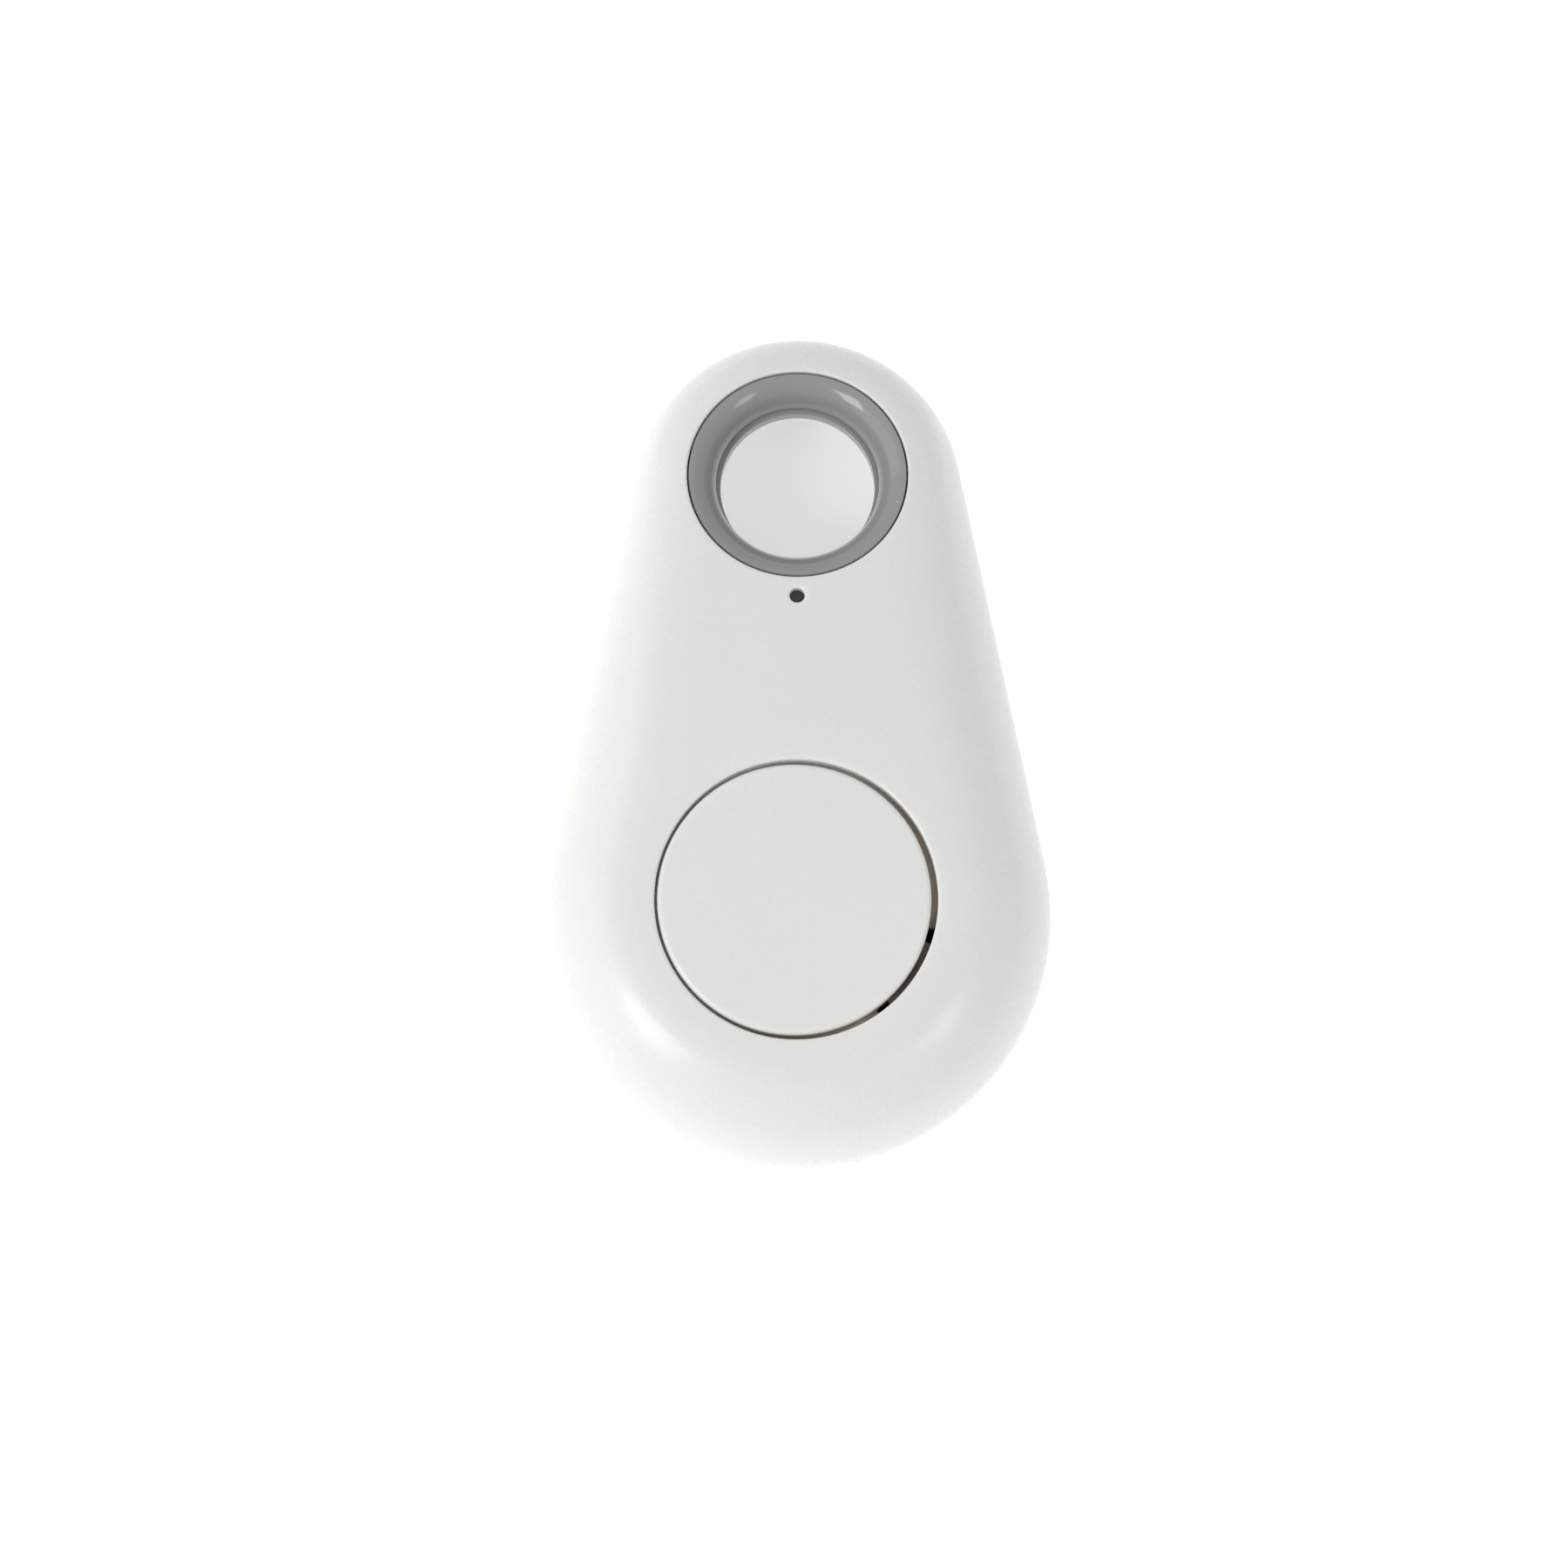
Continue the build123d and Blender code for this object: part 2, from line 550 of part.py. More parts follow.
for name, shape in pieces.items():
    export_step(shape, f"parts/{name}.step")
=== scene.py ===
import json
import math

import bpy
import numpy as np
from mathutils import Matrix, Vector
from mathutils.geometry import delaunay_2d_cdt


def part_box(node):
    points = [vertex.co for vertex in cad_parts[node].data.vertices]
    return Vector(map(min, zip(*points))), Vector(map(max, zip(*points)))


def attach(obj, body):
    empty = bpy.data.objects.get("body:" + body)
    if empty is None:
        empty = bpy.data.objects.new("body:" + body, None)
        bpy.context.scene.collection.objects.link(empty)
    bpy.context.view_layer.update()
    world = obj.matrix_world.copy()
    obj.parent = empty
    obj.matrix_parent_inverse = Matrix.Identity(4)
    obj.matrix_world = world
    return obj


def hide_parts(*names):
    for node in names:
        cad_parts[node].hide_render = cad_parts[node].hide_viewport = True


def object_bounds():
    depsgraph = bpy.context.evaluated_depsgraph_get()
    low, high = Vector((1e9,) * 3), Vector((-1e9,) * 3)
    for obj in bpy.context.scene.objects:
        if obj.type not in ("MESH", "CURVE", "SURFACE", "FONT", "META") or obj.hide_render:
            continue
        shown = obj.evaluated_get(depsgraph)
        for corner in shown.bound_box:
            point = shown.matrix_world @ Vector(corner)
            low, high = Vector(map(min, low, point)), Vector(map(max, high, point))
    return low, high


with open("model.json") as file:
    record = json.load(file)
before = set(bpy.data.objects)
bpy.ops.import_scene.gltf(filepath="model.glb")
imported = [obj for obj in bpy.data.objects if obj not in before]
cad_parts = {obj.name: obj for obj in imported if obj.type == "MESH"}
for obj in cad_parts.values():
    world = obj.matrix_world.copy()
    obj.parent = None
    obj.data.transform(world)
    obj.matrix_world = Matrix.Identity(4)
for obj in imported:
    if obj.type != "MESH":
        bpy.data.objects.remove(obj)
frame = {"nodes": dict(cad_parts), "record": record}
CAD_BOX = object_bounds()

# Lengths below are millimetres in the CAD frame; meshes are made in metres by build_mesh().
MM = 0.001


def millimetres(vector):
    return [value / MM for value in vector]


# Driving places and sizes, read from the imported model
LOW, HIGH = (millimetres(corner) for corner in CAD_BOX)
BUTTON_LOW, BUTTON_HIGH = (millimetres(corner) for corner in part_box("button_cap"))
LED_LOW, LED_HIGH = (millimetres(corner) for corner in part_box("status_led"))
POST_LOW, POST_HIGH = (millimetres(corner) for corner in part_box("board_screws"))
HOLE_MOUNT = next(m for m in frame["record"]["mounts"] if m["name"] == "keyring_hole")
WIDTH = round(HIGH[0] - LOW[0], 1)
THICKNESS = HIGH[2]
HOLE_Y = HOLE_MOUNT["pos_m"][1] / MM
THROAT_RADIUS = HOLE_MOUNT["dims"]["r_mm"]
LIGHT_Y = (LED_LOW[1] + LED_HIGH[1]) / 2
BUTTON_X = (BUTTON_LOW[0] + BUTTON_HIGH[0]) / 2

# Case outline and sides, as in the CAD; the blends stand in for its shoulder fillet
LOWER_RADIUS = WIDTH / 2
RING_RADIUS = 10.25
LOWER_Y = LOW[1] + LOWER_RADIUS
RING_Y = HIGH[1] - RING_RADIUS
SPAN = RING_Y - LOWER_Y
WALL = 1.25
PARTING_Z = THICKNESS / 2
SIDE_POWER = 1.8
SIDE_RISE = 5.8
FRONT_INSETS = (7.0, 8.0)
REAR_INSETS = (5.0, 4.0)
DOME_RADIUS = 230.0
LAND_RADIUS = 10.0
DOME_CENTRE_Z = THICKNESS - math.sqrt(DOME_RADIUS ** 2 - LAND_RADIUS ** 2)
SHOULDER_BLEND = 0.45
SHOULDER_BLEND_GROWTH = 0.06
LAND_BLEND = 0.05

# Seam and lip, as in the CAD but with the seam's edges broken by a chamfer
SEAM_CHAMFER = 0.12
SEAM = 0.02
LIP_HEIGHT = 0.8
LIP_INSET = 0.75
LIP_THICKNESS = 0.45
LIP_CLEARANCE = 0.05

# Openings
APERTURE_RADIUS = 8.46
BUTTON_RADIUS = 8.18
BUTTON_EDGE = 0.3
FLANGE_RADIUS = (BUTTON_HIGH[0] - BUTTON_LOW[0]) / 2
FLANGE_TOP_Z = THICKNESS - WALL - 0.02
LINING_RADIUS = 6.7
LINING_GAP = 0.1
LINING_RECESS = 0.12
LINING_INNER_WALL_RADIUS = 6.2
LIGHT_HOLE_RADIUS = 0.46
COLLAR_RADIUS = LINING_RADIUS + 0.7
COLLAR_BORE = LINING_RADIUS + 0.01
FRONT_COLLAR_Z = (7.0, 8.0)
REAR_COLLAR_TOP_Z = 3.0
NOTCH_ANGLES = (-14, -50)
NOTCH_HALF_ANGLE = 3.5
SCREW_HEAD_WIDTH = 2.4
POST_RADIUS = 1.4
POST_BORE = 0.62
NEST_RADIUS = 10.35
NEST_THICKNESS = 0.75
NEST_ARCS = ((18, 57), (123, 162), (198, 342))
EDGE_ROLL = 0.16

# Mesh densities
AROUND = 320
CIRCLE_POINTS = 240
GRID_PITCH = 0.33
GRID_MARGIN = 0.6 * GRID_PITCH


def smooth_min(a, b, blend):
    """Smaller of two heights, with the corner between them rounded."""
    share = np.clip(blend - np.abs(a - b), 0, None) / blend
    return np.minimum(a, b) - share ** 2 * blend / 4


def teardrop_distance(x, y, lower_radius, ring_radius):
    """Signed plan distance from the teardrop with these end radii, negative inside."""
    lean = (lower_radius - ring_radius) / SPAN
    side = np.sqrt(1 - lean ** 2)
    across, along = np.abs(x), y - LOWER_Y
    station = along * side - across * lean
    lower = np.hypot(across, along) - lower_radius
    ring = np.hypot(across, along - SPAN) - ring_radius
    flank = across * side + along * lean - lower_radius
    return np.where(station < 0, lower, np.where(station > side * SPAN, ring, flank))


def plan_radii(insets, share, shrink):
    """End radii of the outline at a share of the side's inset, moved in by shrink."""
    return LOWER_RADIUS - shrink - insets[0] * share, RING_RADIUS - shrink - insets[1] * share


def inset_share(x, y, insets, shrink):
    """Share of the side's full inset at which its outline passes through each plan point."""
    low, high = np.zeros_like(x), np.ones_like(x)
    for _ in range(26):
        middle = (low + high) / 2
        inside = teardrop_distance(x, y, *plan_radii(insets, middle, shrink)) < 0
        low, high = np.where(inside, middle, low), np.where(inside, high, middle)
    return (low + high) / 2


def front_height(x, y, share, shrink):
    """Front surface, moved in by shrink: sides, dome and flat land, blended."""
    rise = (1 - (1 - share) ** SIDE_POWER) ** (1 / SIDE_POWER)
    side = PARTING_Z + (SIDE_RISE - shrink) * rise
    dome = DOME_CENTRE_Z + np.sqrt((DOME_RADIUS - shrink) ** 2 - x ** 2 - (y - LOWER_Y) ** 2)
    blend = SHOULDER_BLEND + SHOULDER_BLEND_GROWTH * np.clip(y - LOWER_Y - LAND_RADIUS, 0, None)
    return smooth_min(smooth_min(side, dome, blend), THICKNESS - shrink, LAND_BLEND)


def rear_height(x, y, share, shrink):
    """Rear surface, moved in by shrink: elliptical sides down to the flat back."""
    return PARTING_Z - (PARTING_Z - shrink) * np.sqrt(1 - (1 - share) ** 2)


FRONT = {"height": front_height, "insets": FRONT_INSETS, "up": 1}
REAR = {"height": rear_height, "insets": REAR_INSETS, "up": -1}


def outline_points(lower_radius, ring_radius):
    """Points round a teardrop, anticlockwise from the right-hand tangent, evenly matched ring to ring."""
    lean = math.asin((lower_radius - ring_radius) / SPAN)
    lower_share = (math.pi + 2 * lean) * LOWER_RADIUS
    ring_share = (math.pi - 2 * lean) * RING_RADIUS
    flank_share = SPAN * math.cos(lean)
    total = lower_share + ring_share + 2 * flank_share
    ring_count = round(AROUND * ring_share / total)
    flank_count = round(AROUND * flank_share / total)
    lower_count = AROUND - ring_count - 2 * flank_count
    points = []

    def around(centre_y, radius, angle):
        return np.array([radius * math.cos(angle), centre_y + radius * math.sin(angle)])

    def arc(centre_y, radius, start, end, count):
        for step in range(count):
            points.append(around(centre_y, radius, start + (end - start) * step / count))

    def flank(start, end):
        for step in range(flank_count):
            points.append(start + (end - start) * step / flank_count)

    flank(around(LOWER_Y, lower_radius, lean), around(RING_Y, ring_radius, lean))
    arc(RING_Y, ring_radius, lean, math.pi - lean, ring_count)
    flank(around(RING_Y, ring_radius, math.pi - lean), around(LOWER_Y, lower_radius, math.pi - lean))
    arc(LOWER_Y, lower_radius, math.pi - lean, 2 * math.pi + lean, lower_count)
    return np.array(points)


class MeshParts:
    """Vertices and faces of one piece, gathered loop by loop."""

    def __init__(self):
        self.vertices = []
        self.faces = []

    def add(self, points):
        """Add points and return their indices."""
        first = len(self.vertices)
        self.vertices.extend([float(value) for value in point] for point in points)
        return list(range(first, len(self.vertices)))

    def bridge(self, lower, upper):
        """Quads between two closed loops of equal length."""
        count = len(lower)
        for i in range(count):
            j = (i + 1) % count
            self.faces.append((lower[i], lower[j], upper[j], upper[i]))

    def loft(self, loops):
        """Add a run of closed loops of points and bridge each to the next; returns the index loops."""
        rings = [self.add(loop) for loop in loops]
        for lower, upper in zip(rings, rings[1:]):
            self.bridge(lower, upper)
        return rings


def circle_xy(radius, centre_x, centre_y, count=CIRCLE_POINTS):
    angles = np.arange(count) * 2 * math.pi / count
    return np.c_[centre_x + radius * np.cos(angles), centre_y + radius * np.sin(angles)]


def at_height(points, z):
    """Plan points with a height, one number or one for each."""
    return np.c_[points, np.broadcast_to(z, len(points))]


def side_ring(half, share, shrink):
    """One ring of a half's side."""
    points = outline_points(*plan_radii(half["insets"], share, shrink))
    heights = half["height"](points[:, 0], points[:, 1], share, shrink)
    return at_height(points, heights)


def surface_at(half, points, shrink):
    """Plan points raised to a half's surface."""
    x, y = points[:, 0], points[:, 1]
    share = inset_share(x, y, half["insets"], shrink)
    return at_height(points, half["height"](x, y, share, shrink))


def grid_inside(boundary_share, half, shrink, holes):
    """Staggered grid of plan points well inside the last ring and outside the holes."""
    row_pitch = GRID_PITCH * math.sqrt(3) / 2
    rows = np.arange(LOW[1], HIGH[1], row_pitch)
    columns = np.arange(-LOWER_RADIUS, LOWER_RADIUS, GRID_PITCH)
    points = np.array([(x + (i % 2) * GRID_PITCH / 2, y) for i, y in enumerate(rows) for x in columns])
    radii = plan_radii(half["insets"], boundary_share, shrink)
    keep = teardrop_distance(points[:, 0], points[:, 1], *radii) < -GRID_MARGIN
    for x, y, radius in holes:
        keep &= np.hypot(points[:, 0] - x, points[:, 1] - y) > radius + GRID_MARGIN
    return points[keep]


def crown(mesh, half, shrink, boundary, boundary_share, holes):
    """Triangulated top inside the last side ring, with a loop left open at each hole."""
    ring_xy = np.array([mesh.vertices[i][:2] for i in boundary])
    loops = [circle_xy(radius, x, y, count_for(radius)) for x, y, radius in holes]
    inner = grid_inside(boundary_share, half, shrink, holes)
    plan = np.vstack([ring_xy] + loops + [inner])
    edges = []
    start = 0
    for loop in [ring_xy] + loops:
        count = len(loop)
        edges += [(start + i, start + (i + 1) % count) for i in range(count)]
        start += count
    triangles = delaunay_2d_cdt([Vector(p) for p in plan], edges, [], 0, 1e-7)
    if len(triangles[0]) != len(plan):
        raise ValueError("the crown's triangulation merged points")
    order = [source[0] for source in triangles[3]]
    raised = surface_at(half, plan[len(ring_xy):], shrink)
    indices = list(boundary) + mesh.add(raised)
    radii = plan_radii(half["insets"], boundary_share, shrink)
    for face in triangles[2]:
        corners = [order[i] for i in face]
        centre = plan[corners].mean(axis=0)
        if teardrop_distance(centre[0], centre[1], *radii) > -1e-4:
            continue
        if any(math.hypot(centre[0] - x, centre[1] - y) < radius - 1e-3 for x, y, radius in holes):
            continue
        mesh.faces.append(tuple(indices[i] for i in corners))
    hole_loops = []
    start = len(ring_xy)
    for loop in loops:
        hole_loops.append(indices[start:start + len(loop)])
        start += len(loop)
    return hole_loops


def count_for(radius):
    """Points round a circle, fewer on the tiny ones."""
    return CIRCLE_POINTS if radius > 2 else 48


def rolled_edge(mesh, half, shrink, loop, hole, roll):
    """Round the surface over into a hole; returns the last loop, at the hole's own radius."""
    x, y, radius = hole
    steps = 6
    for step in range(1, steps + 1):
        angle = math.pi / 2 * step / steps
        plan = circle_xy(radius + roll * (1 - math.sin(angle)), x, y, len(loop))
        points = surface_at(half, plan, shrink)
        points[:, 2] -= half["up"] * roll * (1 - math.cos(angle))
        lower = mesh.add(points)
        mesh.bridge(loop, lower)
        loop = lower
    return loop


def build_mesh(name, mesh, body, material, replaced, crisp=32):
    """Make the object in metres, shade it, parent it to its body's empty and hide the CAD parts it replaces.
    """
    data = bpy.data.meshes.new(name)
    data.from_pydata([[value * MM for value in vertex] for vertex in mesh.vertices], [], mesh.faces)
    data.validate()
    data.update()
    obj = bpy.data.objects.new(name, data)
    bpy.context.scene.collection.objects.link(obj)
    bpy.context.view_layer.objects.active = obj
    obj.select_set(True)
    bpy.ops.object.mode_set(mode="EDIT")
    bpy.ops.mesh.select_all(action="SELECT")
    bpy.ops.mesh.normals_make_consistent(inside=False)
    bpy.ops.object.mode_set(mode="OBJECT")
    obj.select_set(False)
    data.shade_smooth()
    data.set_sharp_from_angle(angle=math.radians(crisp))
    data.materials.append(material)
    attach(obj, body)
    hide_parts(*replaced)
    return obj


def shell_skins(mesh, half, holes, start_share, shrink):
    """A half's surface from its first side ring inwards; returns the outer loop and the hole loops."""
    steps = 26
    room = HIGH[1] - shrink - max(y + radius for _, y, radius in holes)
    last_share = 0.9 * room / half["insets"][1]
    shares = start_share + (last_share - start_share) * (1 - np.cos(np.linspace(0, math.pi / 2, steps + 1)))
    rings = mesh.loft([side_ring(half, share, shrink) for share in shares])
    loops = crown(mesh, half, shrink, rings[-1], last_share, holes)
    return rings[0], loops


def flat_ring(mesh, inset, z):
    """Outline loop at a plain inset and height."""
    return mesh.add(at_height(outline_points(LOWER_RADIUS - inset, RING_RADIUS - inset), z))


def chain(mesh, loops):
    """Bridge a run of index loops."""
    for first, second in zip(loops, loops[1:]):
        mesh.bridge(first, second)


def tube_into(mesh, x, y, outer, inner, low, high, count=48):
    """Closed upright tube with slightly rounded ends, for posts and bosses."""
    edge = min(0.08, (outer - inner) / 4)
    profile = [(inner, low), (outer - edge, low), (outer, low + edge), (outer, high - edge),
               (outer - edge, high), (inner, high), (inner, low)]
    mesh.loft([at_height(circle_xy(radius, x, y, count), z) for radius, z in profile])


def arc_wall(mesh, x, y, outer, inner, low, high, start, end):
    """Closed piece of upright ring wall between two angles in degrees."""
    edge = 0.08
    profile = [(inner, low), (outer, low), (outer, high - edge), (outer - edge, high),
               (inner + edge, high), (inner, high - edge)]
    angles = np.radians(np.linspace(start, end, 60))
    sections = [mesh.add([(x + r * math.cos(a), y + r * math.sin(a), z) for r, z in profile]) for a in angles]
    chain(mesh, sections)
    mesh.faces.append(tuple(sections[0]))
    mesh.faces.append(tuple(reversed(sections[-1])))


def half_shell(half, holes, parting_path, inner_start):
    """Outer skin, inner skin, the step between them at the seam, and the holes' walls."""
    mesh = MeshParts()
    widened = [(x, y, radius + EDGE_ROLL) for x, y, radius in holes]
    outer_loop, outer_holes = shell_skins(mesh, half, widened, 0.0, 0.0)
    inner_loop, inner_holes = shell_skins(mesh, half, holes, inner_start, WALL)
    steps = [outer_loop] + [flat_ring(mesh, inset, z) for inset, z in parting_path] + [inner_loop]
    chain(mesh, steps)
    for hole, outer, inner in zip(holes, outer_holes, inner_holes):
        edge = rolled_edge(mesh, half, 0.0, outer, hole, EDGE_ROLL)
        mesh.bridge(edge, inner)
    return mesh


def front_shell(material):
    """White front half with its land, openings and board posts."""
    seam_z = PARTING_Z + SEAM
    step_z = PARTING_Z + LIP_HEIGHT + LIP_CLEARANCE
    step_inset = LIP_INSET - LIP_CLEARANCE
    rise = (step_z - PARTING_Z) / (SIDE_RISE - WALL)
    inner_start = 1 - (1 - rise ** SIDE_POWER) ** (1 / SIDE_POWER)
    path = [(SEAM_CHAMFER, seam_z), (step_inset, seam_z), (step_inset, step_z)]
    holes = [(0, HOLE_Y, LINING_RADIUS + LINING_GAP), (0, LOWER_Y, APERTURE_RADIUS),
             (0, LIGHT_Y, LIGHT_HOLE_RADIUS)]
    mesh = half_shell(FRONT, holes, path, inner_start)
    ceiling = THICKNESS - WALL
    for side in (-1, 1):
        x = side * (POST_HIGH[0] - POST_LOW[0] - SCREW_HEAD_WIDTH) / 2
        y = (POST_LOW[1] + POST_HIGH[1]) / 2
        tube_into(mesh, x, y, POST_RADIUS, POST_BORE, LED_LOW[2], ceiling - 0.6)
    tube_into(mesh, 0, LIGHT_Y, 1.1, LIGHT_HOLE_RADIUS + 0.18, 8.2, ceiling - 0.6)
    tube_into(mesh, 0, HOLE_Y, COLLAR_RADIUS, COLLAR_BORE, *FRONT_COLLAR_Z, CIRCLE_POINTS)
    return build_mesh("front_case", mesh, "housing", material, ["front_shell"])


def rear_shell(material):
    """White snap-off half with its lip, hole collar and cell nest."""
    lip_top = PARTING_Z + LIP_HEIGHT
    inner_lip = LIP_INSET + LIP_THICKNESS
    path = [(SEAM_CHAMFER, PARTING_Z), (LIP_INSET, PARTING_Z), (LIP_INSET, lip_top - 0.06),
            (LIP_INSET + 0.06, lip_top), (inner_lip - 0.06, lip_top), (inner_lip, lip_top - 0.06),
            (inner_lip, PARTING_Z)]
    holes = [(0, HOLE_Y, LINING_RADIUS + LINING_GAP)]
    mesh = half_shell(REAR, holes, path, 0.0004)
    tube_into(mesh, 0, HOLE_Y, COLLAR_RADIUS, COLLAR_BORE, WALL - 0.1, REAR_COLLAR_TOP_Z, CIRCLE_POINTS)
    for start, end in NEST_ARCS:
        arc_wall(mesh, 0, LOWER_Y, NEST_RADIUS + NEST_THICKNESS, NEST_RADIUS, WALL - 0.1, 3.8, start, end)
    return build_mesh("rear_case", mesh, "rear_cover", material, ["rear_shell"])


def lathe(profile, x, y, count=CIRCLE_POINTS):
    """Loops of a turned piece from its (radius, height) profile."""
    return [at_height(circle_xy(radius, x, y, count), z) for radius, z in profile]


def quarter(centre, size, start, steps=8):
    """Quarter ellipse of profile points about a centre, from an angle in degrees, anticlockwise."""
    angles = np.radians(np.linspace(start, start + 90, steps + 1))
    return [(centre[0] + size[0] * math.cos(a), centre[1] + size[1] * math.sin(a)) for a in angles]


def front_eyelet(material):
    """Grey funnel: a flare that follows the face, a straight bore, and the hidden outer wall."""
    bore, flare_radius, flare_top, flare_height, slope = 5.05, 7.0, 9.37, 2.2, 0.133
    rim = LINING_RADIUS
    end_z = PARTING_Z + LIP_HEIGHT + SEAM
    mesh = MeshParts()
    last_angle = math.acos((flare_radius - rim + 0.04) / (flare_radius - bore))
    angles = np.linspace(0, last_angle, 30)
    loops = [at_height(circle_xy(LINING_INNER_WALL_RADIUS, 0, HOLE_Y), end_z)]
    loops.append(at_height(circle_xy(bore + 0.05, 0, HOLE_Y), end_z))
    loops.append(at_height(circle_xy(bore, 0, HOLE_Y), end_z + 0.05))
    for angle in angles:
        plan = circle_xy(flare_radius - (flare_radius - bore) * math.cos(angle), 0, HOLE_Y)
        flare = flare_top - flare_height * (1 - math.sin(angle)) - slope * (plan[:, 1] - HOLE_Y)
        surface = surface_at(FRONT, plan, 0)[:, 2] - LINING_RECESS
        loops.append(at_height(plan, smooth_min(flare, surface, 0.12)))
    plan = circle_xy(rim, 0, HOLE_Y)
    drop = loops[-1][:, 2] - 0.06
    loops.append(at_height(plan, drop))
    loops.append(at_height(plan, FRONT_COLLAR_Z[0]))
    loops.append(at_height(circle_xy(LINING_INNER_WALL_RADIUS, 0, HOLE_Y), FRONT_COLLAR_Z[0]))
    loops.append(loops[0])
    mesh.loft(loops)
    return build_mesh("hole_lining_front", mesh, "housing", material, ["front_eyelet"], 40)


def rear_eyelet(material):
    """Grey rear lining: the short throat, its cone to the back, and the hidden outer wall."""
    top, throat_low, mouth, rim_z = PARTING_Z + LIP_HEIGHT, 5.3, 6.5, 0.15
    cone = [(THROAT_RADIUS + (mouth - THROAT_RADIUS) * (1 - z / throat_low), z)
            for z in np.linspace(throat_low - 0.15, rim_z + 0.1, 24)]
    profile = [(LINING_INNER_WALL_RADIUS, top), (THROAT_RADIUS + 0.06, top), (THROAT_RADIUS, top - 0.06),
               (THROAT_RADIUS, throat_low)]
    profile += cone
    profile += [(mouth + 0.02, rim_z), (LINING_RADIUS - 0.05, rim_z), (LINING_RADIUS, rim_z + 0.1),
                (LINING_RADIUS, REAR_COLLAR_TOP_Z), (LINING_INNER_WALL_RADIUS, REAR_COLLAR_TOP_Z),
                (LINING_INNER_WALL_RADIUS, top)]
    mesh = MeshParts()
    mesh.loft(lathe(profile, 0, HOLE_Y))
    return build_mesh("hole_lining_rear", mesh, "rear_cover", material, ["rear_eyelet"], 30)


def button(material):
    """Flat round button with a rounded rim, a notched flange and a centre nub."""
    flange_low = FLANGE_TOP_Z - 0.75
    skirt, skin, nub = 7.0, 1.2, 1.2
    nub_z = BUTTON_LOW[2]
    rim = quarter((BUTTON_RADIUS - BUTTON_EDGE, THICKNESS - BUTTON_EDGE), (BUTTON_EDGE, BUTTON_EDGE), 0, 10)
    face = [(radius, THICKNESS) for radius in np.linspace(BUTTON_RADIUS - BUTTON_EDGE - 0.3, 0.4, 18)]
    profile = [(0.001, nub_z), (nub - 0.1, nub_z), (nub, nub_z + 0.1), (nub, THICKNESS - skin),
               (skirt, THICKNESS - skin), (skirt, flange_low), (FLANGE_RADIUS - 0.1, flange_low),
               (FLANGE_RADIUS, flange_low + 0.1), (FLANGE_RADIUS, FLANGE_TOP_Z - 0.05),
               (FLANGE_RADIUS - 0.05, FLANGE_TOP_Z), (BUTTON_RADIUS, FLANGE_TOP_Z)]
    profile += rim + face + [(0.001, THICKNESS)]
    mesh = MeshParts()
    count = 360
    loops = lathe(profile, BUTTON_X, LOWER_Y, count)
    angles = np.degrees(np.arange(count) * 2 * math.pi / count)
    angles = np.where(angles > 180, angles - 360, angles)
    notched = np.any([np.abs(angles - middle) < NOTCH_HALF_ANGLE for middle in NOTCH_ANGLES], axis=0)
    for loop, (radius, z) in zip(loops, profile):
        if radius > BUTTON_RADIUS:
            scale = np.where(notched, (BUTTON_RADIUS + 0.002) / radius, 1.0)
            loop[:, 0] = BUTTON_X + (loop[:, 0] - BUTTON_X) * scale
            loop[:, 1] = LOWER_Y + (loop[:, 1] - LOWER_Y) * scale
    rings = mesh.loft(loops)
    mesh.faces.append(tuple(rings[-1]))
    mesh.faces.append(tuple(reversed(rings[0])))
    return build_mesh("push_button", mesh, "button", material, ["button_cap"], 40)


def material_base(name):
    """New material with its shader and object coordinates."""
    material = bpy.data.materials.new(name)
    material.use_nodes = True
    tree = material.node_tree
    shader = tree.nodes["Principled BSDF"]
    coordinates = tree.nodes.new("ShaderNodeTexCoord")
    return material, tree, shader, coordinates.outputs["Object"]


def noise(tree, coordinates, scale, detail=3.0, roughness=0.5):
    """Noise texture in object space; scale is cycles per metre."""
    node = tree.nodes.new("ShaderNodeTexNoise")
    node.inputs["Scale"].default_value = scale
    node.inputs["Detail"].default_value = detail
    node.inputs["Roughness"].default_value = roughness
    tree.links.new(coordinates, node.inputs["Vector"])
    return node.outputs["Fac"]


def mapped(tree, value, low, high, out_low, out_high):
    """Value moved from one range to another, clamped."""
    node = tree.nodes.new("ShaderNodeMapRange")
    for socket, number in zip(("From Min", "From Max", "To Min", "To Max"), (low, high, out_low, out_high)):
        node.inputs[socket].default_value = number
    tree.links.new(value, node.inputs["Value"])
    return node.outputs["Result"]


def mixed(tree, share, first, second):
    """Colour between two colours by a share."""
    node = tree.nodes.new("ShaderNodeMix")
    node.data_type = "RGBA"
    colours = [socket for socket in node.inputs if socket.type == "RGBA"]
    for socket, colour in zip(colours, (first, second)):
        if isinstance(colour, tuple):
            socket.default_value = (*colour, 1.0)
        else:
            tree.links.new(colour, socket)
    tree.links.new(share, node.inputs["Factor"])
    return next(socket for socket in node.outputs if socket.type == "RGBA")


def bumped(tree, shader, heights, distance, strength):
    """Bump from a height value; distance is in metres."""
    node = tree.nodes.new("ShaderNodeBump")
    node.inputs["Distance"].default_value = distance
    node.inputs["Strength"].default_value = strength
    tree.links.new(heights, node.inputs["Height"])
    tree.links.new(node.outputs["Normal"], shader.inputs["Normal"])


def calculated(tree, operation, first, second):
    """One maths step on values or numbers."""
    node = tree.nodes.new("ShaderNodeMath")
    node.operation = operation
    for socket, value in zip(node.inputs, (first, second)):
        if isinstance(value, (int, float)):
            socket.default_value = value
        else:
            tree.links.new(value, socket)
    return node.outputs["Value"]


